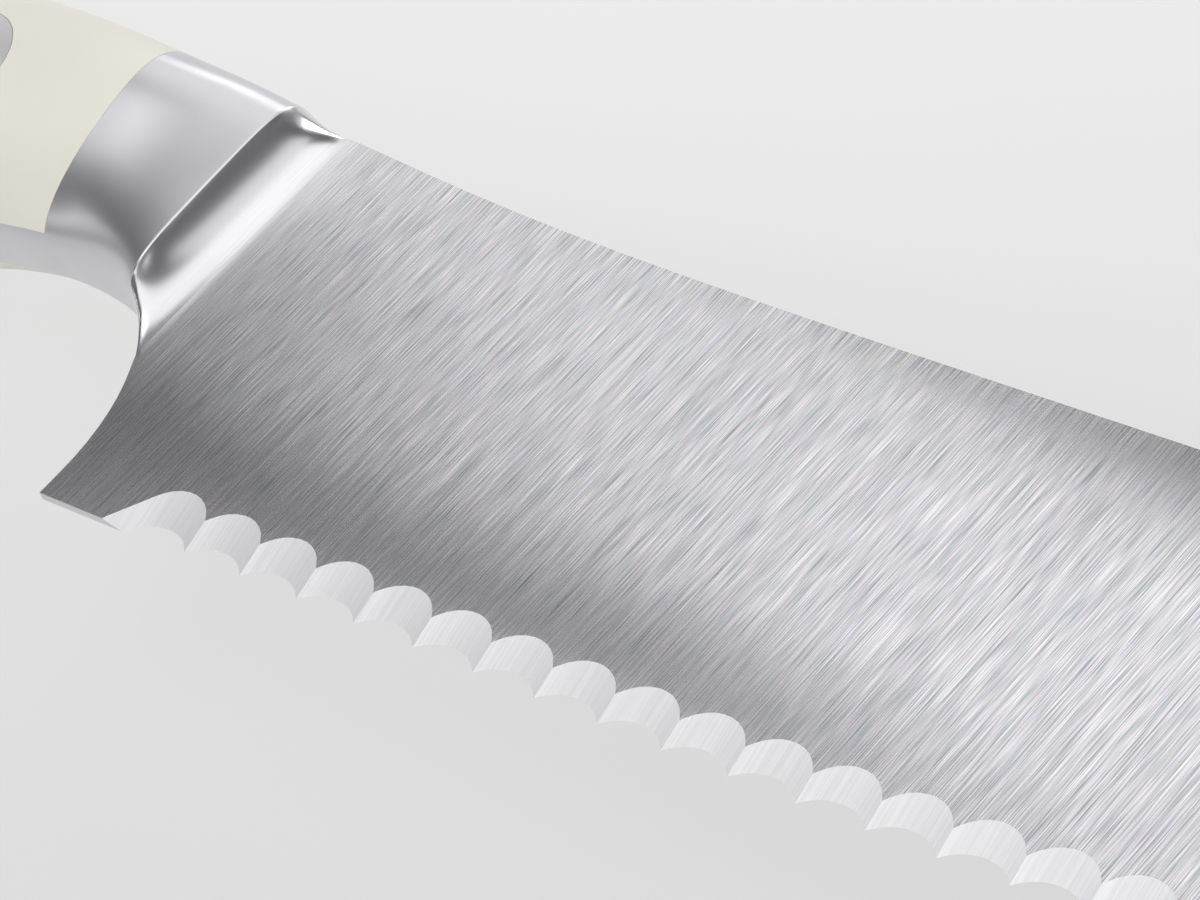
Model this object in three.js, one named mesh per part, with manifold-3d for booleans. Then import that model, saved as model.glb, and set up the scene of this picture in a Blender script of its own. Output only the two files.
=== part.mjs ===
// A forged sausage knife: one steel forging with a scalloped edge, two scales and three two-piece rivets.
// Millimetres. The knife lies on its side: +X to the tip, +Y to the spine, +Z out of the scalloped side.
import * as THREE from 'three';
import { mergeVertices } from 'three/addons/utils/BufferGeometryUtils.js';
import Module from 'manifold-3d';

const wasm = await Module();
wasm.setup();

// Blade outline, measured from the heel corner, which is the lowest point of the blade's back end
const BLADE_LENGTH = 140;
const BLADE_HEIGHT = 24.15;
const BELLY_START = 38.3; // where the edge begins its long rise to the tip
const BELLY_RISE = 6.4; // how far that long rise would lift the edge at the tip
const HEEL_LIFT = 0.25; // how far the tooth points rise from there back to the heel
const TIP_HEIGHT = 8;
const TIP_SWEEP = 45; // length of the edge's upswept end
const SPINE_DROP = 85; // length over which the spine falls to the tip
const SHOULDER_RISE = 3; // how far the spine climbs to meet the handle
const SHOULDER_REACH = 8; // how gently it climbs

// Blade section: both sides are ground flat from spine to edge, and the grind follows the edge's rise
const EDGE_THICKNESS = 0.44; // at the heel, before the scallops are ground
const GRIND_LEAN = 2.39; // degrees that each side leans from the middle plane
const DISTAL_LEAN = 0.042; // degrees that each side closes in towards the tip

// Scallops, ground into the upper side only
const SCALLOP_PITCH = 4;
const SCALLOP_RADIUS = 2.29; // crown of one scallop, seen square to the blade's side
const FLANK_ANGLE = 53; // degrees between a scallop's straight flanks and the edge
const BEVEL_ANGLE = 14.2; // degrees between the scallops' floors and the blade's side
const FIRST_SCALLOP = 8.26; // heel corner to the middle of the first scallop
const TIP_LAND = 8; // plain length left at the tip
const TOOTH_SETBACK = 0.1; // tooth points stay this far inside the blade's lower line

// Heel and half bolster, measured back from the heel corner
const HEEL_BACK = 1.6; // straight stretch at the back of the heel
const CHOIL_DEPTH = 9.5;
const CHOIL_RISE = 11.8;
const BOLSTER_TOE = 1.8; // where the bolster's hollow begins to rise from the blade
const HOLLOW_LENGTH = 3.2;
const HOLLOW_TURN = 70; // degrees that the hollow's round turns through, from the blade to its rim
const RIM_THICKNESS = 6.8;
const RIM_LEAN = 0.15; // share by which the rim is thicker at its top and thinner at its belly
const CHEEK_LENGTH = 4; // from the end of the choil to the scales
const CHEEK_THICKNESS = 8.9;
const CHEEK_LEAN = 0.36; // as the rim's lean, where the scales begin
const BOLSTER_FULLNESS = 3.5; // squareness of the bolster's sections: 2 is an ellipse, more is squarer

// Handle: its centre is measured up from the heel line at each place where the section is set
const SCALE_LENGTH = 93;
const END_CAP_LENGTH = 14;
const TANG_THICKNESS = 3;
const SEAM = 0.1; // between the ends of a scale and the steel
const FINGER_SETBACK = 14; // behind the front of the scales
const FINGER_CENTRE = 19.3;
const FINGER_HEIGHT = 15.8;
const FINGER_THICKNESS = 12.8;
const PALM_SETBACK = 45; // behind the front of the scales
const PALM_CENTRE = 16.9;
const PALM_HEIGHT = 20.4;
const PALM_THICKNESS = 16.8;
const WAIST_LEAD = 15; // ahead of the back end of the scales
const WAIST_CENTRE = 16.3;
const WAIST_HEIGHT = 17.8;
const WAIST_THICKNESS = 14.6;
const CAP_CENTRE = 14.2;
const CAP_HEIGHT = 18.6;
const CAP_THICKNESS = 14.8;
const BUTT_CENTRE = 10.4;
const BUTT_HEIGHT = 19.4;
const BUTT_THICKNESS = 14.4;
const BUTT_ROUNDING = 4; // length over which the butt's rim is rounded
const BUTT_DRAW_IN = 0.3; // share of the section that the rounding takes off
const HANDLE_LEAN = 0.08; // as the rim's lean, at the finger and behind it
const HANDLE_FULLNESS = 2.7; // as the bolster's

// Rivets
const RIVET_HEAD = 6.6;
const RIVET_SHANK = 4.6;
const RIVET_STUD = 3;
const RIVET_CLEARANCE = 0.1;
const RIVET_SEAT = 1.8; // thickness of scale left under a head
const FRONT_RIVET_SETBACK = 11; // behind the front of the scales
const REAR_RIVET_LEAD = 14; // ahead of the back end of the scales

// Facets
const BLADE_STEPS = 36;
const CROWN_STEPS = 9;
const CHOIL_STEPS = 10;
const SECTION_SIDES = 40;
const HOLLOW_STEPS = 7;
const CHEEK_STEPS = 4;
const SCALE_STEPS = 16;
const CAP_STEPS = 4;
const ROUNDING_STEPS = 4;
const RIVET_SIDES = 24;

// Helpers of the construction
const BLADE_FULLNESS = 10; // squareness of the section where the bolster leaves the blade
const SUNK = 0.04; // the bolster starts this far under the blade's skin
const OVERRUN = 5; // how far a cutter runs past what it cuts

const choilEnd = CHOIL_DEPTH;
const scaleFront = choilEnd + CHEEK_LENGTH;
const scaleBack = scaleFront + SCALE_LENGTH;
const butt = scaleBack + END_CAP_LENGTH;
const grindSlope = Math.tan(THREE.MathUtils.degToRad(GRIND_LEAN));
const distalSlope = Math.tan(THREE.MathUtils.degToRad(DISTAL_LEAN));
const bevelRun = 1 / Math.tan(THREE.MathUtils.degToRad(BEVEL_ANGLE));
const flank = THREE.MathUtils.degToRad(FLANK_ANGLE);
const hollowTurn = THREE.MathUtils.degToRad(HOLLOW_TURN);

const forgedSteel = new THREE.MeshStandardMaterial({ color: '#bcbbc0', roughness: 0.32, metalness: 1 });
const creamResin = new THREE.MeshStandardMaterial({ color: '#e5e2d5', roughness: 0.45, metalness: 0 });
const rivetSteel = new THREE.MeshStandardMaterial({ color: '#c9c7c8', roughness: 0.28, metalness: 1 });

// Heights of the blade's lines over the heel line, at x ahead of the heel corner

function lowerLine(x) {
  const rise = Math.max(0, (x - BELLY_START) / (BLADE_LENGTH - BELLY_START));
  const sweep = Math.max(0, (x - BLADE_LENGTH + TIP_SWEEP) / TIP_SWEEP);
  return BELLY_RISE * rise ** 2 + (TIP_HEIGHT - BELLY_RISE) * sweep ** 3;
}

function toothLine(x) {
  const heelward = Math.max(0, 1 - x / BELLY_START);
  return lowerLine(x) + TOOTH_SETBACK + HEEL_LIFT * heelward ** 2;
}

function spineLine(x) {
  const shoulder = SHOULDER_RISE / (1 + Math.exp(x / SHOULDER_REACH));
  const drop = Math.max(0, (x - BLADE_LENGTH + SPINE_DROP) / SPINE_DROP);
  return BLADE_HEIGHT + shoulder - (BLADE_HEIGHT - TIP_HEIGHT) * drop ** 2;
}

function choilLine(x) {
  const along = 1 + x / CHOIL_DEPTH;
  return HEEL_BACK + CHOIL_RISE * Math.sqrt(Math.max(0, 1 - along ** 2));
}

function halfThickness(x, y) {
  return EDGE_THICKNESS / 2 + grindSlope * (y - lowerLine(x)) - distalSlope * x;
}

// Solids and meshes

// A solid from a closed geometry, without the flat triangles that a lathe leaves on its axis
function solidOf(geometry) {
  const bare = geometry.clone();
  bare.deleteAttribute('normal');
  bare.deleteAttribute('uv');
  const merged = mergeVertices(bare);
  const corners = Array.from(merged.index.array);
  const kept = [];
  for (let i = 0; i < corners.length; i += 3) {
    const triangle = corners.slice(i, i + 3);
    if (new Set(triangle).size === 3) {
      kept.push(...triangle);
    }
  }
  const vertProperties = new Float32Array(merged.attributes.position.array);
  const triVerts = new Uint32Array(kept);
  return new wasm.Manifold(new wasm.Mesh({ numProp: 3, vertProperties, triVerts }));
}

function meshOf(name, solid, material) {
  const { vertProperties, triVerts } = solid.getMesh();
  const geometry = new THREE.BufferGeometry();
  geometry.setAttribute('position', new THREE.BufferAttribute(new Float32Array(vertProperties), 3));
  geometry.setIndex(new THREE.BufferAttribute(new Uint32Array(triVerts), 1));
  geometry.computeVertexNormals();
  const mesh = new THREE.Mesh(geometry, material);
  mesh.name = name;
  return mesh;
}

function block(low, high) {
  const size = new THREE.Vector3().subVectors(high, low);
  const middle = new THREE.Vector3().addVectors(low, high).multiplyScalar(0.5);
  return solidOf(new THREE.BoxGeometry(size.x, size.y, size.z).translate(middle.x, middle.y, middle.z));
}

function steps(from, to, count) {
  return Array.from({ length: count + 1 }, (_, i) => THREE.MathUtils.lerp(from, to, i / count));
}

function loft(rings) {
  const sides = rings[0].length;
  const points = rings.flat();
  const faces = [];
  rings.slice(1).forEach((_, i) => {
    for (let j = 0; j < sides; j += 1) {
      const here = i * sides + j;
      const next = i * sides + ((j + 1) % sides);
      faces.push(here, here + sides, next, next, here + sides, next + sides);
    }
  });
  const last = (rings.length - 1) * sides;
  for (let j = 1; j < sides - 1; j += 1) {
    faces.push(0, j, j + 1, last, last + j + 1, last + j);
  }
  return solidOf(new THREE.BufferGeometry().setFromPoints(points).setIndex(faces));
}

// Blade

function bladeRing(x, bottom) {
  const top = spineLine(x);
  const corners = [[top, 1], [top, -1], [bottom, -1], [bottom, 1]];
  return corners.map(([y, side]) => new THREE.Vector3(x, y, side * halfThickness(x, y)));
}

// The blade before its scallops are ground, from inside the bolster to the tip
function bladeBlank() {
  const turn = Math.acos(1 - (BOLSTER_TOE + HOLLOW_LENGTH / 2) / CHOIL_DEPTH);
  const choil = steps(turn, 0, CHOIL_STEPS).map((angle) => CHOIL_DEPTH * (Math.cos(angle) - 1));
  return loft([
    ...choil.map((x) => bladeRing(x, choilLine(x))),
    ...steps(0, BLADE_LENGTH, BLADE_STEPS).map((x) => bladeRing(x, lowerLine(x))),
  ]);
}

// Outline of one scallop on the blade's side, with the centre of its crown at the origin
function scallopOutline() {
  const reach = SCALLOP_RADIUS + SCALLOP_PITCH;
  const crown = steps(-flank, flank, CROWN_STEPS).map(
    (angle) => new THREE.Vector2(SCALLOP_RADIUS * Math.sin(angle), SCALLOP_RADIUS * Math.cos(angle)),
  );
  const shoulder = crown[crown.length - 1];
  const foot = shoulder.x + (shoulder.y + reach) / Math.tan(flank);
  return new THREE.Shape([new THREE.Vector2(-foot, -reach), ...crown, new THREE.Vector2(foot, -reach)]);
}

class ToothCurve extends THREE.Curve {
  getPoint(t, target = new THREE.Vector3()) {
    const x = THREE.MathUtils.lerp(FIRST_SCALLOP, BLADE_LENGTH - TIP_LAND, t);
    return target.set(x, toothLine(x), 0);
  }
}

// A scallop is ground along a slanted path: its cutter is the outline, swept to the edge as it sinks
function scallopCutters() {
  const sweep = new THREE.Matrix4().makeShear(0, 0, 0, 0, 0, bevelRun);
  const cutter = new THREE.ExtrudeGeometry(scallopOutline(), { depth: 2 * OVERRUN, bevelEnabled: false });
  cutter.translate(0, 0, -OVERRUN).applyMatrix4(sweep);

  const shoulderX = SCALLOP_RADIUS * Math.sin(flank);
  const cusp = SCALLOP_RADIUS * Math.cos(flank) - (SCALLOP_PITCH / 2 - shoulderX) * Math.tan(flank);
  const curve = new ToothCurve();
  const length = curve.getLength();
  const count = Math.floor(length / SCALLOP_PITCH);
  return steps(0, (count * SCALLOP_PITCH) / length, count).map((share) => {
    const tooth = curve.getPointAt(share);
    const ahead = lowerLine(tooth.x + SCALLOP_PITCH / 2);
    const behind = lowerLine(tooth.x - SCALLOP_PITCH / 2);
    const leanAlong = distalSlope + (grindSlope * (ahead - behind)) / SCALLOP_PITCH;
    const normal = new THREE.Vector3(leanAlong, -grindSlope, 1).normalize();
    const along = curve.getTangentAt(share).projectOnPlane(normal).normalize();
    const across = new THREE.Vector3().crossVectors(normal, along);
    const bevel = 2 * halfThickness(tooth.x, tooth.y) * bevelRun;
    const y = tooth.y + bevel - cusp;
    const place = new THREE.Matrix4().makeBasis(along, across, normal);
    place.setPosition(tooth.x, y, halfThickness(tooth.x, y));
    return solidOf(cutter.clone().applyMatrix4(place));
  });
}

function blade() {
  return scallopCutters().reduce((solid, cutter) => solid.subtract(cutter), bladeBlank());
}

// Handle body: bolster, scales and end cap as one form, lofted from the blade to the butt

function handleStation(back, centre, height, thickness, lean = HANDLE_LEAN, fullness = HANDLE_FULLNESS) {
  return { back, values: [centre, height, thickness, lean, fullness] };
}

// The bolster's top carries the spine on, and its belly is the choil, then straight
function bolsterLines(back) {
  return { top: spineLine(-back), belly: choilLine(-Math.min(back, choilEnd)) };
}

function bolsterStation(back, thickness, lean) {
  const { top, belly } = bolsterLines(back);
  return handleStation(back, (top + belly) / 2, top - belly, thickness, lean, BOLSTER_FULLNESS);
}

const stations = [
  bolsterStation(BOLSTER_TOE, RIM_THICKNESS, RIM_LEAN),
  bolsterStation(BOLSTER_TOE + HOLLOW_LENGTH, RIM_THICKNESS, RIM_LEAN),
  bolsterStation(scaleFront, CHEEK_THICKNESS, CHEEK_LEAN),
  handleStation(scaleFront + FINGER_SETBACK, FINGER_CENTRE, FINGER_HEIGHT, FINGER_THICKNESS),
  handleStation(scaleFront + PALM_SETBACK, PALM_CENTRE, PALM_HEIGHT, PALM_THICKNESS),
  handleStation(scaleBack - WAIST_LEAD, WAIST_CENTRE, WAIST_HEIGHT, WAIST_THICKNESS),
  handleStation(scaleBack, CAP_CENTRE, CAP_HEIGHT, CAP_THICKNESS),
  handleStation(butt, BUTT_CENTRE, BUTT_HEIGHT, BUTT_THICKNESS),
];
const handleForm = new THREE.CubicInterpolant(
  stations.map((station) => station.back),
  stations.flatMap((station) => station.values),
  stations[0].values.length,
  new Float64Array(stations[0].values.length),
);

// Lines and section of the handle at a distance back from the heel corner
function handleAt(back) {
  const [centre, height, thickness, lean, fullness] = handleForm.evaluate(back);
  const gripLines = { top: centre + height / 2, belly: centre - height / 2 };
  const lines = back < scaleFront ? bolsterLines(back) : gripLines;
  return { ...lines, half: thickness / 2, lean, fullness };
}

function power(value, fullness) {
  return Math.sign(value) * Math.abs(value) ** (2 / fullness);
}

// Share of the bolster's full section at a place in its hollow, whose round leaves the blade smoothly
function hollowRise(back) {
  const along = THREE.MathUtils.clamp((back - BOLSTER_TOE) / HOLLOW_LENGTH, 0, 1);
  return (1 - Math.sqrt(1 - (along * Math.sin(hollowTurn)) ** 2)) / (1 - Math.cos(hollowTurn));
}

function handleRing(back) {
  const { top, belly, half, lean, fullness } = handleAt(back);
  const centre = (top + belly) / 2;
  const halfHeight = (top - belly) / 2;
  const rise = hollowRise(back);
  const rounding = Math.max(0, (back - butt + BUTT_ROUNDING) / BUTT_ROUNDING);
  const size = 1 - BUTT_DRAW_IN * (1 - Math.sqrt(Math.max(0, 1 - rounding ** 2)));
  return steps(0, 2 * Math.PI, SECTION_SIDES).slice(0, -1).map((angle) => {
    const height = power(Math.cos(angle), fullness);
    const width = power(Math.sin(angle), fullness) * (1 + lean * height);
    const round = new THREE.Vector3(-back, centre + height * size * halfHeight, width * size * half);
    const flat = new THREE.Vector3(-back, power(Math.cos(angle), BLADE_FULLNESS), 0);
    flat.y = centre + flat.y * (halfHeight - SUNK);
    flat.z = power(Math.sin(angle), BLADE_FULLNESS) * (halfThickness(-back, flat.y) - SUNK);
    return flat.lerp(round, rise);
  });
}

function handleBody() {
  const hollowEnd = BOLSTER_TOE + HOLLOW_LENGTH;
  const hollow = steps(0, hollowTurn, HOLLOW_STEPS).map((angle) => Math.sin(angle) / Math.sin(hollowTurn));
  const rounding = steps(0, Math.PI / 2, ROUNDING_STEPS).map((angle) => BUTT_ROUNDING * Math.sin(angle));
  const backs = [
    ...hollow.map((share) => BOLSTER_TOE + HOLLOW_LENGTH * share),
    ...steps(hollowEnd, scaleFront, CHEEK_STEPS).slice(1),
    ...steps(scaleFront, scaleBack, SCALE_STEPS).slice(1),
    ...steps(scaleBack, butt - BUTT_ROUNDING, CAP_STEPS).slice(1),
    ...rounding.slice(1).map((along) => butt - BUTT_ROUNDING + along),
  ];
  return loft(backs.map(handleRing));
}

// How far a cutter reaches to pass every side of the handle
const handleReach = OVERRUN + Math.max(...stations.map(({ values: [centre, height] }) => centre + height));

// Space of one scale inside the handle body
function scaleSpace(side, seam) {
  const near = (side * TANG_THICKNESS) / 2;
  const far = side * handleReach;
  return block(
    new THREE.Vector3(-scaleBack + seam, -handleReach, Math.min(near, far)),
    new THREE.Vector3(-scaleFront - seam, handleReach, Math.max(near, far)),
  );
}

// Rivets

const rivetPlaces = [
  { name: 'front', back: scaleFront + FRONT_RIVET_SETBACK },
  { name: 'middle', back: (scaleFront + FRONT_RIVET_SETBACK + scaleBack - REAR_RIVET_LEAD) / 2 },
  { name: 'rear', back: scaleBack - REAR_RIVET_LEAD },
];
const headSeat = TANG_THICKNESS / 2 + RIVET_SEAT;
const headTop = handleReach;

// A turned piece on the rivet's axis, from radii and heights that start and end on the axis
function turned(profile, back) {
  const geometry = new THREE.LatheGeometry(profile.map(([r, z]) => new THREE.Vector2(r, z)), RIVET_SIDES);
  const { top, belly } = handleAt(back);
  return solidOf(geometry.rotateX(Math.PI / 2).translate(-back, (top + belly) / 2, 0));
}

function rivetHole(back) {
  const shank = RIVET_SHANK / 2 + RIVET_CLEARANCE;
  const head = RIVET_HEAD / 2 + RIVET_CLEARANCE;
  const profile = [
    [0, -headTop], [head, -headTop], [head, -headSeat], [shank, -headSeat],
    [shank, headSeat], [head, headSeat], [head, headTop], [0, headTop],
  ];
  return turned(profile, back);
}

// The hollow half, whose head lies flush in the upper scale
function rivetSleeve(back) {
  const bore = RIVET_STUD / 2 + RIVET_CLEARANCE;
  const end = -headSeat + RIVET_CLEARANCE;
  const profile = [
    [0, headSeat], [bore, headSeat], [bore, end], [RIVET_SHANK / 2, end],
    [RIVET_SHANK / 2, headSeat], [RIVET_HEAD / 2, headSeat], [RIVET_HEAD / 2, headTop], [0, headTop],
  ];
  return turned(profile, back);
}

// The solid half, whose stud fills the sleeve from the lower side
function rivetStud(back) {
  const end = headSeat - RIVET_CLEARANCE;
  const profile = [
    [0, -headTop], [RIVET_HEAD / 2, -headTop], [RIVET_HEAD / 2, -headSeat], [RIVET_STUD / 2, -headSeat],
    [RIVET_STUD / 2, end], [0, end],
  ];
  return turned(profile, back);
}

// Assembly

const body = handleBody();
const holes = rivetPlaces.map(({ back }) => rivetHole(back));
const drilled = (solid) => holes.reduce((piece, hole) => piece.subtract(hole), solid);
const steel = body.subtract(scaleSpace(1, 0)).subtract(scaleSpace(-1, 0));

const knife = new THREE.Group();
knife.add(meshOf('blade_forging', drilled(steel).add(blade()), forgedSteel));
knife.add(meshOf('scale_upper', drilled(body.intersect(scaleSpace(1, SEAM))), creamResin));
knife.add(meshOf('scale_lower', drilled(body.intersect(scaleSpace(-1, SEAM))), creamResin));
rivetPlaces.forEach(({ name, back }) => {
  knife.add(meshOf(`rivet_${name}_sleeve`, body.intersect(rivetSleeve(back)), rivetSteel));
  knife.add(meshOf(`rivet_${name}_stud`, body.intersect(rivetStud(back)), rivetSteel));
});

// The origin is under the middle of the knife, on the surface that it lies on
const box = new THREE.Box3().setFromObject(knife);
const middle = box.getCenter(new THREE.Vector3());
knife.position.set(-middle.x, -middle.y, -box.min.z);

export default knife;
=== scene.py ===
"""A forged sausage knife: brushed blade with a scalloped edge, polished bolster, riveted cream scales."""

import math

import bmesh
import bpy
import numpy as np
from mathutils import Matrix, Vector


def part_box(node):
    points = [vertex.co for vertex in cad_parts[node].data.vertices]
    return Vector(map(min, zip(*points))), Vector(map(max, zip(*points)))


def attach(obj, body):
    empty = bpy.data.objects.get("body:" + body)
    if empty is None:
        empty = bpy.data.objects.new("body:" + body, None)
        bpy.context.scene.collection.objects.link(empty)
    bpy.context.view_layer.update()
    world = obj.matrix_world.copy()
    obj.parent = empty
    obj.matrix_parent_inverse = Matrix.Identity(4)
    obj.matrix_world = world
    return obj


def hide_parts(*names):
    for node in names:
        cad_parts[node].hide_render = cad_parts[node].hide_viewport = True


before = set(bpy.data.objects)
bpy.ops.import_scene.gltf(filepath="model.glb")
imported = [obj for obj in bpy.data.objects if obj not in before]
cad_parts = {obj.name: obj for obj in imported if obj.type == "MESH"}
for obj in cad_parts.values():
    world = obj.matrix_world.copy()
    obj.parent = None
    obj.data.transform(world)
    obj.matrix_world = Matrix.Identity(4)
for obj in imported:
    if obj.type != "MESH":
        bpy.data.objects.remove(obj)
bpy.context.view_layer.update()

MM = 0.001

# Sizes in mm, unless a comment says otherwise. The heel corner of the blade is the zero of every place
# below, with x towards the tip, y towards the spine and z out of the scalloped side.
BLADE_LENGTH = 140
BLADE_HEIGHT = 24.15
BOLSTER_TOE = 1.8  # back from the heel to where the bolster rises out of the blade
HOLLOW_LENGTH = 3.2
HOLLOW_TURN = math.radians(40)  # the hollow's profile is a round that turns this far, stretched to fit
RIM_EASING = 0.15  # width of the soft line where the hollow ends
BUTT_ROUNDING = 4  # length over which the end cap rounds off
RIM_LEAN = 0.15  # share by which the bolster's rim is thicker at its top and thinner at its belly
CHEEK_LEAN = 0.36  # the same where the scales begin
HANDLE_LEAN = 0.08  # the same along the grip
FINGER_LENGTH = 14  # length of scale over which the bolster's section becomes the grip's
RIM_FULLNESS = 4.5  # squareness of a section: 2 is an ellipse, more is squarer
HANDLE_FULLNESS = 2.7
SUNK = 0.04  # the bolster starts this far under the blade's skin
PACKED_SEAM = 0.1  # between the ends of a packed scale and the steel
SEAM = 0.03  # the same as the eye sees it, filled and ground flush
TOUCHING = SUNK / 100  # corners closer than this are one
RING_TOUCHING = SUNK / 10  # the same where the handle's grid closes
SLIVER = 0.0002  # edges up to this length are cleared
CROSSWISE = 1e-5  # an edge that runs less than this along the knife crosses no section
OVERRUN = 5  # how far a cutter runs past what it cuts
ROOT_LENGTH = 2  # of the blade inside the bolster
ROOT_SLOPE = 2  # rise over run of the root's lower end, steeper than the choil there

# Rivets, by their diameters
RIVET_HEAD = 6.6
RIVET_SHANK = 4.6
RIVET_STUD = 3
RIVET_CLEARANCE = 0.03  # between a rivet and its hole, and between its halves
RIVET_SEAT = 1.8  # thickness of scale left under a head

# Counts of rows and sides
SECTION_SIDES = 64
HOLLOW_ROWS = 14
CHEEK_ROWS = 5
SCALE_ROWS = 32
CAP_ROWS = 6
ROUNDING_ROWS = 6
RIVET_SIDES = 64

FACING = 0.9  # cosine from which a face counts as looking along an axis
STEEL_CREASE, CREASE = 12, 30  # degrees from which an edge of the steel, or of another piece, stays sharp

forging_low, forging_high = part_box("blade_forging")
HEEL = Vector((forging_high.x - BLADE_LENGTH * MM, forging_low.y, (forging_low.z + forging_high.z) / 2))


def in_frame(x, y, z):
    """A place in mm from the heel, as a place in the frame."""
    return HEEL + Vector((x, y, z)) * MM


def from_heel(point):
    """A place in the frame, in mm from the heel."""
    return (Vector(point) - HEEL) / MM


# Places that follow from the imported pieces, mostly as distances behind the heel
scale_low, scale_high = map(from_heel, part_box("scale_upper"))
HOLLOW_END = BOLSTER_TOE + HOLLOW_LENGTH
SCALE_FRONT = -scale_high.x - PACKED_SEAM
SCALE_BACK = -scale_low.x + PACKED_SEAM
TANG_THICKNESS = 2 * scale_low.z
BLADE_TOP = in_frame(0, BLADE_HEIGHT, 0).y  # in the frame
BUTT = -from_heel(forging_low).x
HEAD_SEAT = TANG_THICKNESS / 2 + RIVET_SEAT
HEAD_REACH = (scale_high.z + OVERRUN) - HEAD_SEAT


# Handling of pieces


def select_only(piece):
    bpy.ops.object.select_all(action="DESELECT")
    piece.select_set(True)
    bpy.context.view_layer.objects.active = piece


def open_mesh(piece):
    """Goes into edit mode with everything in the piece selected."""
    select_only(piece)
    bpy.ops.object.mode_set(mode="EDIT")
    bpy.ops.mesh.select_all(action="SELECT")


def close_mesh():
    bpy.ops.object.mode_set(mode="OBJECT")


def pick_faces(piece, test):
    """Selects, in edit mode, just the faces that pass a test."""
    bpy.ops.mesh.select_mode(type="FACE")
    bpy.ops.mesh.select_all(action="DESELECT")
    mesh = bmesh.from_edit_mesh(piece.data)
    for face in mesh.faces:
        if test(face):
            face.select_set(True)
    bmesh.update_edit_mesh(piece.data)


def copy_of(piece, name):
    """A copy of a piece with its own mesh and no finish."""
    twin = bpy.data.objects.new(name, piece.data.copy())
    twin.data.materials.clear()
    bpy.context.scene.collection.objects.link(twin)
    return twin


def added(name):
    """Names the primitive that was just added and puts its place into its mesh."""
    bpy.ops.object.transform_apply(location=True, rotation=True, scale=True)
    piece = bpy.context.active_object
    piece.name = name
    return piece


def finish_with(piece, kind, **settings):
    """Adds a modifier with its settings and applies it."""
    modifier = piece.modifiers.new(kind.lower(), kind)
    for name, value in settings.items():
        setattr(modifier, name, value)
    select_only(piece)
    bpy.ops.object.modifier_apply(modifier=modifier.name)


def combine(piece, operation, tool, keep_tool=False):
    """Joins a tool to a piece, or cuts the piece with it."""
    finish_with(piece, "BOOLEAN", object=tool, operation=operation, solver="EXACT")
    if not keep_tool:
        bpy.data.objects.remove(tool)


def keep_side(piece, place, direction):
    """Cuts a piece by a plane, keeps the side that the direction points to and closes it."""
    open_mesh(piece)
    bpy.ops.mesh.bisect(
        plane_co=place, plane_no=direction, use_fill=True, clear_inner=True, threshold=TOUCHING * MM,
    )
    close_mesh()


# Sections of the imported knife


def cad_edges():
    """Both ends of every edge of the forging and the scales, in mm from the heel."""
    ends = []
    for name in ("blade_forging", "scale_upper", "scale_lower"):
        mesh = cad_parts[name].data
        corners = np.array([vertex.co for vertex in mesh.vertices])
        ends.append(corners[np.array([edge.vertices[:] for edge in mesh.edges])])
    return (np.concatenate(ends) - np.array(HEEL)) / MM


EDGES = cad_edges()


def section(back):
    """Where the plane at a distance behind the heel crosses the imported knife, in mm."""
    first, second = EDGES[:, 0], EDGES[:, 1]
    run = second[:, 0] - first[:, 0]
    crossing = np.abs(run) > CROSSWISE
    first, second, run = first[crossing], second[crossing], run[crossing]
    share = (-back - first[:, 0]) / run
    hit = (share >= 0) & (share <= 1)
    return first[hit] + share[hit, None] * (second - first)[hit]


def clear_of_seams(back):
    """The same place, or one just inside the steel where a packed seam bares the tang."""
    for seam, inwards in ((SCALE_FRONT, -SUNK), (SCALE_BACK, SUNK)):
        if abs(back - seam) < PACKED_SEAM:
            return seam + inwards
    return back


def smoothstep(value, start, end):
    """Grows softly from 0 at the start to 1 at the end."""
    share = min(max((value - start) / (end - start), 0), 1)
    return share * share * (3 - 2 * share)


def power(value, fullness):
    """A sine or cosine, bent so that a section gets its fullness."""
    return math.copysign(abs(value) ** (2 / fullness), value)


def section_outline(lean, fullness):
    """Height and width round a section of the handle, both from -1 to 1 before its lean."""
    turns = [2 * math.pi * side / SECTION_SIDES for side in range(SECTION_SIDES)]
    heights = [power(math.cos(turn), fullness) for turn in turns]
    return [
        (height, power(math.sin(turn), fullness) * (1 + lean * height))
        for turn, height in zip(turns, heights)
    ]


def blade_skin():
    """Half thickness of the blade just ahead of the bolster, as a function of the height on it."""
    points = section(BOLSTER_TOE - SUNK)
    heights, reaches = points[:, 1], np.abs(points[:, 2])
    low, high = heights.min(), heights.max()
    thin, thick = [reaches[np.abs(heights - end) < SUNK].max() for end in (low, high)]
    return lambda y: thin + (thick - thin) * (y - low) / (high - low)


SKIN = blade_skin()


def hollow_rise(back):
    """Share of the bolster's full section at a place in its hollow, which leaves the blade smoothly."""
    along = min(max((back - BOLSTER_TOE) / HOLLOW_LENGTH, 0), 1)
    return (1 - math.sqrt(1 - (along * math.sin(HOLLOW_TURN)) ** 2)) / (1 - math.cos(HOLLOW_TURN))


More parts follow.
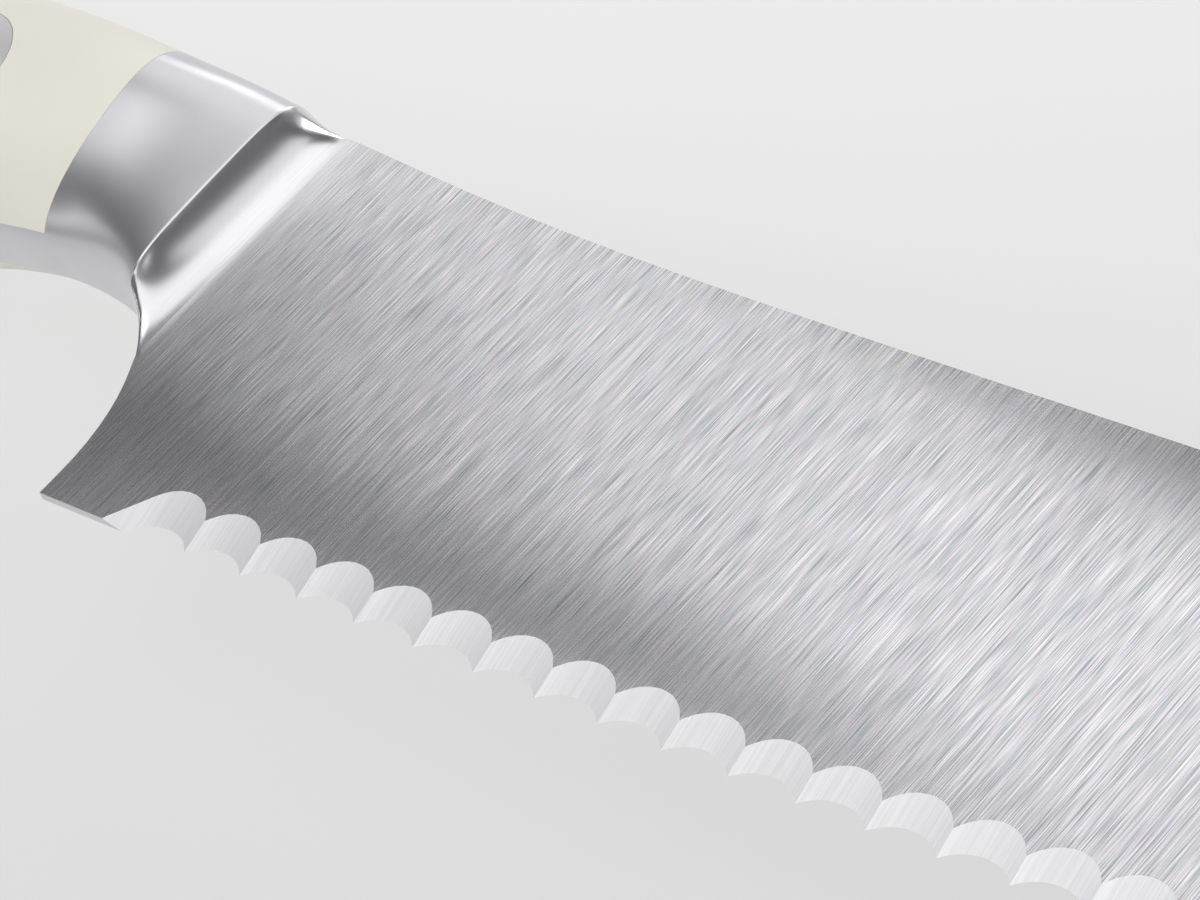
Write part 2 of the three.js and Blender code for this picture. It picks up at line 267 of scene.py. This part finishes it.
def handle_ring(back):
    """One section of the handle. In the bolster's hollow it changes from the flat blade to the full form."""
    cheek = smoothstep(back, HOLLOW_END, SCALE_FRONT)
    finger = smoothstep(back, SCALE_FRONT, SCALE_FRONT + FINGER_LENGTH)
    lean = RIM_LEAN + (CHEEK_LEAN - RIM_LEAN) * cheek + (HANDLE_LEAN - CHEEK_LEAN) * finger
    outline = section_outline(lean, RIM_FULLNESS + (HANDLE_FULLNESS - RIM_FULLNESS) * cheek)
    points = section(clear_of_seams(back))
    top, belly = points[:, 1].max(), points[:, 1].min()
    centre, half_height = (top + belly) / 2, (top - belly) / 2
    reach = np.abs(section(max(clear_of_seams(back), HOLLOW_END))[:, 2]).max()
    half = reach / max(width for _, width in outline)
    rise = hollow_rise(back)
    ring = []
    for height, width in outline:
        y = centre + height * (half_height - SUNK * (1 - rise))
        flat = math.copysign(SKIN(y) - SUNK, width) if abs(height) < 1 else 0
        ring.append(in_frame(-back, y, flat + rise * (width * half - flat)))
    return ring


def rows(start, end, count):
    """Even steps from the start, without the end."""
    return [start + (end - start) * row / count for row in range(count)]


def handle_form():
    """Bolster, scales and end cap as one closed skin: a grid rolled up round the handle's sections."""
    rim = BUTT - BUTT_ROUNDING
    hollow = [math.sin(turn) / math.sin(HOLLOW_TURN) for turn in rows(0, HOLLOW_TURN, HOLLOW_ROWS)]
    backs = [
        *[BOLSTER_TOE + HOLLOW_LENGTH * share for share in hollow],
        HOLLOW_END,
        *rows(HOLLOW_END + RIM_EASING, SCALE_FRONT, CHEEK_ROWS),
        *rows(SCALE_FRONT, SCALE_BACK, SCALE_ROWS),
        *rows(SCALE_BACK, rim, CAP_ROWS),
        *[rim + BUTT_ROUNDING * math.sin(turn) for turn in rows(0, math.pi / 2, ROUNDING_ROWS)],
        BUTT,
    ]
    rings = [handle_ring(back) for back in backs]
    bpy.ops.object.select_all(action="DESELECT")
    bpy.ops.mesh.primitive_grid_add(x_subdivisions=len(rings) - 1, y_subdivisions=SECTION_SIDES, size=1)
    form = added("handle_form")
    for vertex in form.data.vertices:
        row = round((vertex.co.x + 0.5) * (len(rings) - 1))
        side = round((vertex.co.y + 0.5) * SECTION_SIDES) % SECTION_SIDES
        vertex.co = rings[row][side]
    open_mesh(form)
    bpy.ops.mesh.remove_doubles(threshold=RING_TOUCHING * MM)
    close_mesh()
    finish_with(form, "SUBSURF", levels=1, render_levels=1)
    open_mesh(form)
    bpy.ops.mesh.fill_holes(sides=0)
    bpy.ops.mesh.select_all(action="SELECT")
    bpy.ops.mesh.normals_make_consistent(inside=False)
    close_mesh()
    return form


def block(name, low, high):
    """A box between two corners."""
    middle, size = (low + high) / 2, high - low
    bpy.ops.object.select_all(action="DESELECT")
    bpy.ops.mesh.primitive_cube_add(size=1, location=middle, scale=size)
    return added(name)


# Rivets


def rivet_axis(back):
    """Place of a rivet, halfway up the knife at a distance behind the heel."""
    points = section(back)
    return -back, (points[:, 1].max() + points[:, 1].min()) / 2


def stepped_pin(name, back, side, head, shank, end, bore=0):
    """A head and a thinner shank that runs from the head's seat to an end past the middle plane.

    A bore runs back from that end to the seat.
    """
    x, y = rivet_axis(back)
    bpy.ops.object.select_all(action="DESELECT")
    bpy.ops.mesh.primitive_cylinder_add(
        vertices=RIVET_SIDES, radius=head * MM, depth=HEAD_REACH * MM,
        location=in_frame(x, y, side * (HEAD_SEAT + HEAD_REACH / 2)),
    )
    pin = added(name)
    open_mesh(pin)
    pick_faces(pin, lambda face: face.normal.z * side < -FACING)
    bpy.ops.mesh.inset(thickness=(head - shank) * MM)
    length = side * (HEAD_SEAT - end) * MM
    bpy.ops.mesh.extrude_region_move(TRANSFORM_OT_translate={"value": (0, 0, -length)})
    if bore:
        bpy.ops.mesh.inset(thickness=(shank - bore) * MM)
        bpy.ops.mesh.extrude_region_move(TRANSFORM_OT_translate={"value": (0, 0, length)})
    close_mesh()
    return pin


def rivet_holes(backs):
    """Cutters for all rivet holes: one for each side of each rivet, which meet at the middle plane."""
    cutters = []
    for back in backs:
        for side in (1, -1):
            head, shank = RIVET_HEAD / 2 + RIVET_CLEARANCE, RIVET_SHANK / 2 + RIVET_CLEARANCE
            cutters.append(stepped_pin("rivet_hole", back, side, head, shank, -RIVET_CLEARANCE))
    return cutters


# Materials
#
# The lines that grinding and buffing leave are a few hundredths of a millimetre wide on such a knife.
# They are drawn wider here, because finer ones don't show in the picture.


def linear(colour):
    """Linear red, green, blue and alpha of an sRGB hex colour."""
    channels = [int(colour[place:place + 2], 16) / 255 for place in (1, 3, 5)]
    return (*[c / 12.92 if c <= 0.04045 else ((c + 0.055) / 1.055) ** 2.4 for c in channels], 1)


def add_node(tree, kind, inputs=None, **settings):
    """Adds a node with its settings. Its inputs are plain values, or outputs of other nodes to link."""
    node = tree.nodes.new(kind)
    for name, value in settings.items():
        setattr(node, name, value)
    for name, value in (inputs or {}).items():
        if isinstance(value, bpy.types.NodeSocket):
            tree.links.new(value, node.inputs[name])
        else:
            node.inputs[name].default_value = value
    return node


MIX_A, MIX_B, MIX_COLOUR = 6, 7, 2  # colour sockets of a Mix node
MIX_LOW, MIX_HIGH = 2, 3  # its number sockets


def new_material(name):
    material = bpy.data.materials.new(name)
    material.use_nodes = True
    material.node_tree.nodes.clear()
    return material, material.node_tree


def stretched_noise(tree, size, detail, turn=0):
    """Noise whose grains have a given size in mm along x, y and z of the piece, turned about z."""
    place = add_node(tree, "ShaderNodeTexCoord").outputs["Object"]
    grain = add_node(
        tree, "ShaderNodeMapping",
        {"Vector": place, "Rotation": (0, 0, math.radians(turn)), "Scale": [length * MM for length in size]},
        vector_type="TEXTURE",
    )
    return add_node(
        tree, "ShaderNodeTexNoise",
        {"Vector": grain.outputs["Vector"], "Scale": 1, "Detail": detail},
    )


# Brushing of the blade
BRUSH_TURN = -1  # degrees by which it leans from square to the blade
HAIR_SIZE = (0.05, 2.4, 2.4)  # along x, y and z, as every grain's size
LINE_SIZE = (0.1, 9, 9)
LINE_SHARE = 0.6  # weight of the lines beside the hairs
STREAK_DARK, STREAK_LIGHT = 0.44, 1.18  # sums of both that give a streak's dark and its light
BRUSH_FADE_FROM, BRUSH_FADE_TO = -4, 1  # places along the blade between which it fades in
BUFFED_LEVEL = 0.8  # tone where it has faded, from a streak's dark at 0 to its light at 1
GLINT = 0.4  # strength of the trace of colour
SCRATCH_DEPTH = 0.002
SCRATCH_STRENGTH = 0.5
GRIND_CROWN = 0.28  # drop of the ground sides at the spine and at the edge, below their middle, as shaded
SIDE_ROLL = 0.25  # share by which they drop further close to both, towards the tip
ROLL_POWER = 4  # how close to both that is: more is closer
ROLL_FROM, ROLL_TO = 15, 45  # places along the blade between which that drop grows


def brushed_blade_steel():
    """Stainless steel brushed from spine to edge: hair-fine streaks that glint with a trace of colour.

    Its sides round off a little to the spine and the edge and so darken there.
    """
    material, tree = new_material("cross_brushed_stainless_steel")
    hairs = stretched_noise(tree, HAIR_SIZE, detail=1, turn=BRUSH_TURN)
    lines = stretched_noise(tree, LINE_SIZE, detail=1, turn=BRUSH_TURN)
    streaks = add_node(
        tree, "ShaderNodeMath", {0: lines.outputs["Fac"], 1: LINE_SHARE, 2: hairs.outputs["Fac"]},
        operation="MULTIPLY_ADD",
    ).outputs[0]
    place = add_node(tree, "ShaderNodeTexCoord").outputs["Object"]
    along = add_node(tree, "ShaderNodeSeparateXYZ", {"Vector": place})
    brushed = add_node(
        tree, "ShaderNodeMapRange",
        {"Value": along.outputs["X"], "From Min": in_frame(BRUSH_FADE_FROM, 0, 0).x,
         "From Max": in_frame(BRUSH_FADE_TO, 0, 0).x},
        interpolation_type="SMOOTHSTEP",
    ).outputs["Result"]
    contrast = add_node(
        tree, "ShaderNodeMapRange", {"Value": streaks, "From Min": STREAK_DARK, "From Max": STREAK_LIGHT},
    ).outputs["Result"]
    level = add_node(
        tree, "ShaderNodeMix", {"Factor": brushed, MIX_LOW: BUFFED_LEVEL, MIX_HIGH: contrast},
        data_type="FLOAT",
    ).outputs[0]
    # The streaks' tone is partly the brushing's own grain and partly painted shade in its grooves, darker
    # where the scratches' bump is low.
    grain_and_groove_shade = add_node(
        tree, "ShaderNodeMix", {"Factor": level, MIX_A: linear("#8f8e92"), MIX_B: linear("#f4f3f7")},
        data_type="RGBA",
    ).outputs[MIX_COLOUR]
    sparkle = add_node(tree, "ShaderNodeMath", {0: brushed, 1: GLINT}, operation="MULTIPLY").outputs[0]
    colour = add_node(
        tree, "ShaderNodeMix", {"Factor": sparkle, MIX_A: grain_and_groove_shade, MIX_B: hairs.outputs["Color"]},
        data_type="RGBA", blend_type="SOFT_LIGHT",
    ).outputs[MIX_COLOUR]
    gloss = add_node(
        tree, "ShaderNodeMapRange", {"Value": level, "To Min": 0.26, "To Max": 0.19},
    ).outputs["Result"]
    off_middle = add_node(
        tree, "ShaderNodeMapRange",
        {"Value": along.outputs["Y"], "From Min": forging_low.y, "From Max": BLADE_TOP,
         "To Min": -1, "To Max": 1},
        clamp=False,
    ).outputs["Result"]
    round_off = add_node(
        tree, "ShaderNodeMath", {0: off_middle, 1: off_middle}, operation="MULTIPLY",
    ).outputs[0]
    roll_off = add_node(tree, "ShaderNodeMath", {0: round_off, 1: ROLL_POWER}, operation="POWER").outputs[0]
    rolled = add_node(
        tree, "ShaderNodeMapRange",
        {"Value": along.outputs["X"], "From Min": in_frame(ROLL_FROM, 0, 0).x,
         "From Max": in_frame(ROLL_TO, 0, 0).x, "To Max": SIDE_ROLL},
        interpolation_type="SMOOTHSTEP",
    ).outputs["Result"]
    drop = add_node(
        tree, "ShaderNodeMath", {0: roll_off, 1: rolled, 2: round_off}, operation="MULTIPLY_ADD",
    ).outputs[0]
    crown = add_node(
        tree, "ShaderNodeBump", {"Height": drop, "Strength": 1, "Distance": GRIND_CROWN * MM}, invert=True,
    )
    scratched = add_node(
        tree, "ShaderNodeMath", {0: brushed, 1: SCRATCH_STRENGTH}, operation="MULTIPLY",
    ).outputs[0]
    scratches = add_node(
        tree, "ShaderNodeBump",
        {"Height": streaks, "Strength": scratched, "Distance": SCRATCH_DEPTH * MM,
         "Normal": crown.outputs["Normal"]},
    )
    across = add_node(tree, "ShaderNodeCombineXYZ", {"X": 1, "Y": math.tan(math.radians(BRUSH_TURN))})
    steel = add_node(
        tree, "ShaderNodeBsdfPrincipled",
        {"Base Color": colour, "Metallic": 1, "Roughness": gloss, "Anisotropic": 0.7,
         "Normal": scratches.outputs["Normal"], "Tangent": across.outputs["Vector"]},
    )
    add_node(tree, "ShaderNodeOutputMaterial", {"Surface": steel.outputs["BSDF"]})
    return material


def polished_steel():
    """Stainless steel buffed along the handle: a soft sheen with faint lengthwise lines."""
    material, tree = new_material("buffed_stainless_steel")
    lines = stretched_noise(tree, (9, 0.25, 0.25), detail=3).outputs["Fac"]
    cloud = stretched_noise(tree, (3, 3, 3), detail=1).outputs["Fac"]
    colour = add_node(
        tree, "ShaderNodeMix", {"Factor": cloud, MIX_A: linear("#d2d1d5"), MIX_B: linear("#dddce0")},
        data_type="RGBA",
    ).outputs[MIX_COLOUR]
    gloss = add_node(
        tree, "ShaderNodeMapRange", {"Value": lines, "To Min": 0.3, "To Max": 0.36},
    ).outputs["Result"]
    relief = add_node(tree, "ShaderNodeBump", {"Height": lines, "Strength": 0.15, "Distance": 0.01 * MM})
    steel = add_node(
        tree, "ShaderNodeBsdfPrincipled",
        {"Base Color": colour, "Metallic": 1, "Roughness": gloss, "Normal": relief.outputs["Normal"]},
    )
    add_node(tree, "ShaderNodeOutputMaterial", {"Surface": steel.outputs["BSDF"]})
    return material


def ground_edge_steel():
    """The scallops as the wheel left them: bright and even, with fine lines down to the tooth points."""
    material, tree = new_material("wheel_ground_stainless_steel")
    lines = stretched_noise(tree, (0.08, 8, 8), detail=2).outputs["Fac"]
    level = add_node(
        tree, "ShaderNodeMapRange", {"Value": lines, "From Min": 0.3, "From Max": 0.7},
    ).outputs["Result"]
    colour = add_node(
        tree, "ShaderNodeMix", {"Factor": level, MIX_A: linear("#eeeef1"), MIX_B: linear("#fdfdff")},
        data_type="RGBA",
    ).outputs[MIX_COLOUR]
    gloss = add_node(
        tree, "ShaderNodeMapRange", {"Value": level, "To Min": 0.54, "To Max": 0.46},
    ).outputs["Result"]
    across = add_node(tree, "ShaderNodeCombineXYZ", {"X": 1})
    steel = add_node(
        tree, "ShaderNodeBsdfPrincipled",
        {"Base Color": colour, "Metallic": 1, "Roughness": gloss, "Anisotropic": 0.8,
         "Tangent": across.outputs["Vector"]},
    )
    add_node(tree, "ShaderNodeOutputMaterial", {"Surface": steel.outputs["BSDF"]})
    return material


def cream_resin():
    """Acetal resin, moulded and then buffed with the steel: warm, even and softly glossy."""
    material, tree = new_material("cream_acetal_resin")
    cloud = stretched_noise(tree, (6, 6, 6), detail=3).outputs["Fac"]
    haze = stretched_noise(tree, (4, 0.3, 0.3), detail=2).outputs["Fac"]
    colour = add_node(
        tree, "ShaderNodeMix", {"Factor": cloud, MIX_A: linear("#e5e2d5"), MIX_B: linear("#edebe0")},
        data_type="RGBA",
    ).outputs[MIX_COLOUR]
    gloss = add_node(
        tree, "ShaderNodeMapRange", {"Value": haze, "To Min": 0.36, "To Max": 0.46},
    ).outputs["Result"]
    relief = add_node(tree, "ShaderNodeBump", {"Height": haze, "Strength": 0.12, "Distance": 0.02 * MM})
    resin = add_node(
        tree, "ShaderNodeBsdfPrincipled",
        {"Base Color": colour, "Roughness": gloss, "IOR": 1.48, "Normal": relief.outputs["Normal"]},
    )
    add_node(tree, "ShaderNodeOutputMaterial", {"Surface": resin.outputs["BSDF"]})
    return material


def rivet_steel():
    """Rivet heads ground flush with the scales: fine lengthwise lines on a bright face."""
    material, tree = new_material("flush_ground_rivet_steel")
    lines = stretched_noise(tree, (4, 0.14, 0.14), detail=2).outputs["Fac"]
    colour = add_node(
        tree, "ShaderNodeMix", {"Factor": lines, MIX_A: linear("#dcdadb"), MIX_B: linear("#ebe9ea")},
        data_type="RGBA",
    ).outputs[MIX_COLOUR]
    gloss = add_node(
        tree, "ShaderNodeMapRange", {"Value": lines, "To Min": 0.46, "To Max": 0.36},
    ).outputs["Result"]
    relief = add_node(tree, "ShaderNodeBump", {"Height": lines, "Strength": 0.2, "Distance": 0.01 * MM})
    steel = add_node(
        tree, "ShaderNodeBsdfPrincipled",
        {"Base Color": colour, "Metallic": 1, "Roughness": gloss, "Normal": relief.outputs["Normal"]},
    )
    add_node(tree, "ShaderNodeOutputMaterial", {"Surface": steel.outputs["BSDF"]})
    return material


# Pieces


def blade_with_root():
    """The blade as packed, with a root that reaches into the bolster and slopes up at its lower end."""
    blade = copy_of(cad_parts["blade_forging"], "blade")
    select_only(blade)
    bpy.ops.mesh.customdata_custom_splitnormals_clear()
    open_mesh(blade)
    bpy.ops.mesh.remove_doubles(threshold=TOUCHING * MM)
    close_mesh()
    toe = in_frame(-BOLSTER_TOE, 0, 0)
    keep_side(blade, toe, (1, 0, 0))

    def at_cut(face):
        return face.normal.x < -FACING and abs(face.calc_center_median().x - toe.x) < SUNK * MM

    open_mesh(blade)
    pick_faces(blade, at_cut)
    bpy.ops.mesh.extrude_region_move(TRANSFORM_OT_translate={"value": (-ROOT_LENGTH * MM, 0, 0)})
    lowest = section(BOLSTER_TOE - SUNK)[:, 1].min() + ROOT_SLOPE * ROOT_LENGTH
    mesh = bmesh.from_edit_mesh(blade.data)
    for corner in [vertex for vertex in mesh.verts if vertex.select]:
        place = from_heel(corner.co)
        place.y = max(place.y, lowest)
        corner.co = in_frame(place.x, place.y, math.copysign(SKIN(place.y), place.z))
    bmesh.update_edit_mesh(blade.data)
    bpy.ops.mesh.select_all(action="SELECT")
    bpy.ops.mesh.remove_doubles(threshold=TOUCHING * MM)
    close_mesh()
    return blade


def tang_and_bolster(form, holes):
    """The handle's form less the room for both scales and the rivet holes."""
    steel = copy_of(form, "tang")
    reach = scale_high.z + OVERRUN
    for side in (1, -1):
        near, far = sorted((side * TANG_THICKNESS / 2, side * reach))
        low = in_frame(-SCALE_BACK, scale_low.y - OVERRUN, near)
        high = in_frame(-SCALE_FRONT, scale_high.y + OVERRUN, far)
        combine(steel, "DIFFERENCE", block("scale_space", low, high))
    for hole in holes:
        combine(steel, "DIFFERENCE", hole, keep_tool=True)
    return steel


def scale(name, form, side, holes):
    """The handle's form between the seams, on one side of the tang, less the rivet holes."""
    piece = copy_of(form, name)
    keep_side(piece, in_frame(-SCALE_FRONT - SEAM, 0, 0), (-1, 0, 0))
    keep_side(piece, in_frame(-SCALE_BACK + SEAM, 0, 0), (1, 0, 0))
    keep_side(piece, in_frame(0, 0, side * TANG_THICKNESS / 2), (0, 0, side))
    for hole in holes:
        combine(piece, "DIFFERENCE", hole, keep_tool=True)
    return piece


BRUSHED, GROUND = 1, 2  # places of these finishes on the steel, after the buffed one

# Least cosine between the sideways axis and the faces of the flat sides, the scallops and the hollow
FLAT_SIDE, SCALLOP_FLOOR, HOLLOW_SIDE = [math.cos(math.radians(tilt)) for tilt in (6, 40, 75)]


def paint_steel(piece):
    """Brushes the blade's sides up into the hollow, grinds the scallops' floors and buffs the rest."""
    for finish in (polished_steel(), brushed_blade_steel(), ground_edge_steel()):
        piece.data.materials.append(finish)
    for face in piece.data.polygons:
        place = from_heel(face.center)
        sideways = FLAT_SIDE if place.x > -BOLSTER_TOE else HOLLOW_SIDE
        if abs(face.normal.z) > sideways and place.x > -HOLLOW_END:
            face.material_index = BRUSHED
        elif face.normal.z > SCALLOP_FLOOR and place.x > 0:
            face.material_index = GROUND


def clean_and_smooth(piece, angle):
    """Clears the slivers that cutting leaves, splits hollow faces and shades the piece softly."""
    open_mesh(piece)
    bpy.ops.mesh.dissolve_degenerate(threshold=SLIVER * MM)
    bpy.ops.mesh.vert_connect_concave()
    close_mesh()
    bpy.ops.object.shade_smooth_by_angle(angle=math.radians(angle), keep_sharp_edges=False)


def place_on_knife(piece, node):
    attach(piece, "root")
    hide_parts(node)


def build_knife():
    form = handle_form()
    names = ("front", "middle", "rear")
    rivets = {name: -from_heel(sum(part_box(f"rivet_{name}_stud"), Vector()) / 2).x for name in names}
    holes = rivet_holes(rivets.values())

    steel = tang_and_bolster(form, holes)
    combine(steel, "UNION", blade_with_root())
    steel.name = "knife_steel"
    clean_and_smooth(steel, STEEL_CREASE)
    paint_steel(steel)
    place_on_knife(steel, "blade_forging")

    resin, rivet_finish = cream_resin(), rivet_steel()
    for name, side in (("upper", 1), ("lower", -1)):
        piece = scale(f"resin_scale_{name}", form, side, holes)
        clean_and_smooth(piece, CREASE)
        piece.data.materials.append(resin)
        place_on_knife(piece, f"scale_{name}")

    head, shank, stud = RIVET_HEAD / 2, RIVET_SHANK / 2, RIVET_STUD / 2
    far_end = -HEAD_SEAT + RIVET_CLEARANCE
    for name, back in rivets.items():
        sleeve = stepped_pin(
            f"rivet_sleeve_{name}", back, 1, head, shank, far_end, bore=stud + RIVET_CLEARANCE,
        )
        pin = stepped_pin(f"rivet_pin_{name}", back, -1, head, stud, far_end)
        for half, node in ((sleeve, f"rivet_{name}_sleeve"), (pin, f"rivet_{name}_stud")):
            combine(half, "INTERSECT", form, keep_tool=True)
            clean_and_smooth(half, CREASE)
            half.data.materials.append(rivet_finish)
            place_on_knife(half, node)

    for tool in (form, *holes):
        bpy.data.objects.remove(tool)


# Studio

FLOOR_SIZE = 6000
FLOOR_GLOW = 0.85  # share of the paper's tone that the eye and the steel see without shade
BACKWARDS = Vector((-0.45, 0.89, 0))  # level, into the picture
PAINTED_FALLOFF_DARK, PAINTED_FALLOFF_LIGHT = -20, 46  # distances that way from the heel between which the painted falloff of light makes the paper lighter


def build_floor():
    """A pale sheet of paper with a painted falloff of light, a little lighter towards the back, that still
    takes a soft shadow.
    """
    bpy.ops.object.select_all(action="DESELECT")
    bpy.ops.mesh.primitive_plane_add(size=FLOOR_SIZE * MM)
    floor = added("floor")
    material, tree = new_material("pale_paper")
    path = add_node(tree, "ShaderNodeLightPath")
    seen = add_node(
        tree, "ShaderNodeMath", {0: path.outputs["Is Camera Ray"], 1: path.outputs["Is Glossy Ray"]},
        operation="MAXIMUM",
    ).outputs[0]
    share = add_node(tree, "ShaderNodeMath", {0: seen, 1: FLOOR_GLOW}, operation="MULTIPLY").outputs[0]
    place = add_node(tree, "ShaderNodeTexCoord").outputs["Object"]
    # Painted falloff of light: the paper's colour darkens towards the front.
    depth = add_node(
        tree, "ShaderNodeVectorMath", {0: place, 1: BACKWARDS}, operation="DOT_PRODUCT",
    ).outputs["Value"]
    near = BACKWARDS.dot(HEEL)
    tone = add_node(
        tree, "ShaderNodeMapRange",
        {"Value": depth, "From Min": near + PAINTED_FALLOFF_DARK * MM, "From Max": near + PAINTED_FALLOFF_LIGHT * MM},
    ).outputs["Result"]
    colour = add_node(
        tree, "ShaderNodeMix", {"Factor": tone, MIX_A: linear("#dedede"), MIX_B: linear("#ededed")},
        data_type="RGBA",
    ).outputs[MIX_COLOUR]
    paper = add_node(tree, "ShaderNodeBsdfDiffuse", {"Color": colour})
    glow = add_node(tree, "ShaderNodeEmission", {"Color": colour, "Strength": 1})
    surface = add_node(
        tree, "ShaderNodeMixShader", {0: share, 1: paper.outputs["BSDF"], 2: glow.outputs["Emission"]},
    )
    add_node(tree, "ShaderNodeOutputMaterial", {"Surface": surface.outputs["Shader"]})
    floor.data.materials.append(material)


# Soft boxes that hang level above the knife: from x to x and from y to y in mm from the heel, and radiance.
# Steel shows them one by one, and they leave the dark between them that shades the heel and the bolster.
SOFT_BOXES = {
    "over_blade_root": (-60, 40, 60, 100, 1.2),
    "over_edge": (-40, 40, -40, 60, 1.1),
    "over_bolster": (-80, -40, 0, 40, 2.2),
    "over_scales": (-120, -60, 60, 100, 0.95),
    "over_spine": (40, 100, 60, 120, 0.85),
    "behind_spine": (-160, 80, 160, 300, 3.3),
    "behind_handle": (-240, -60, 100, 140, 1.05),
    "before_handle": (-200, -160, -160, -20, 2.4),
    "before_edge": (40, 160, -200, -60, 5.6),
    "beyond_tip": (120, 300, -40, 40, 3.5),
}
SOFT_BOX_HEIGHT = 110


def build_lights():
    for name, (left, right, front, back, radiance) in SOFT_BOXES.items():
        middle = in_frame((left + right) / 2, (front + back) / 2, SOFT_BOX_HEIGHT)
        bpy.ops.object.light_add(type="AREA", location=middle)
        lamp = bpy.context.active_object
        lamp.name = f"soft_box_{name}"
        lamp.visible_camera = False
        lamp.data.shape = "RECTANGLE"
        lamp.data.size, lamp.data.size_y = (right - left) * MM, (back - front) * MM
        lamp.data.energy = radiance * math.pi * lamp.data.size * lamp.data.size_y


CEILING = 0.13  # share of the walls' light
WALL_TOP, CEILING_START = [math.sin(math.radians(rise)) for rise in (10, 18)]


def build_world():
    """A pale room with a dim ceiling."""
    world = bpy.data.worlds.new("studio")
    world.use_nodes = True
    tree = world.node_tree
    tree.nodes.clear()
    direction = add_node(tree, "ShaderNodeTexCoord").outputs["Generated"]
    rise = add_node(tree, "ShaderNodeSeparateXYZ", {"Vector": direction}).outputs["Z"]
    strength = add_node(
        tree, "ShaderNodeMapRange",
        {"Value": rise, "From Min": WALL_TOP, "From Max": CEILING_START, "To Min": 1, "To Max": CEILING},
    ).outputs["Result"]
    room = add_node(tree, "ShaderNodeBackground", {"Color": linear("#e3e3e3"), "Strength": strength})
    add_node(tree, "ShaderNodeOutputWorld", {"Surface": room.outputs["Background"]})
    bpy.context.scene.world = world


CAMERA_PLACE = (199.35, -98.41, 160.25)
CAMERA_RIGHT = Vector((0.7034, 0.638, -0.3134))
CAMERA_UP = Vector((-0.2564, 0.639, 0.7253))
CAMERA_SENSOR, CAMERA_LENS = 36, 168
CAMERA_NEAREST = 10


def build_camera():
    """A long lens close to the blade, from beyond the tip and above the edge."""
    back = CAMERA_RIGHT.cross(CAMERA_UP).normalized()
    right = CAMERA_UP.cross(back).normalized()
    camera = bpy.data.objects.new("camera", bpy.data.cameras.new("camera"))
    bpy.context.scene.collection.objects.link(camera)
    turn = Matrix((right, back.cross(right), back)).transposed()
    camera.matrix_world = Matrix.Translation(in_frame(*CAMERA_PLACE)) @ turn.to_4x4()
    camera.data.sensor_width = CAMERA_SENSOR
    camera.data.lens = CAMERA_LENS
    camera.data.clip_start = CAMERA_NEAREST * MM
    bpy.context.scene.camera = camera


build_knife()
build_floor()
build_lights()
build_world()
build_camera()
bpy.context.scene.view_settings.view_transform = "Standard"

bpy.context.view_layer.update()
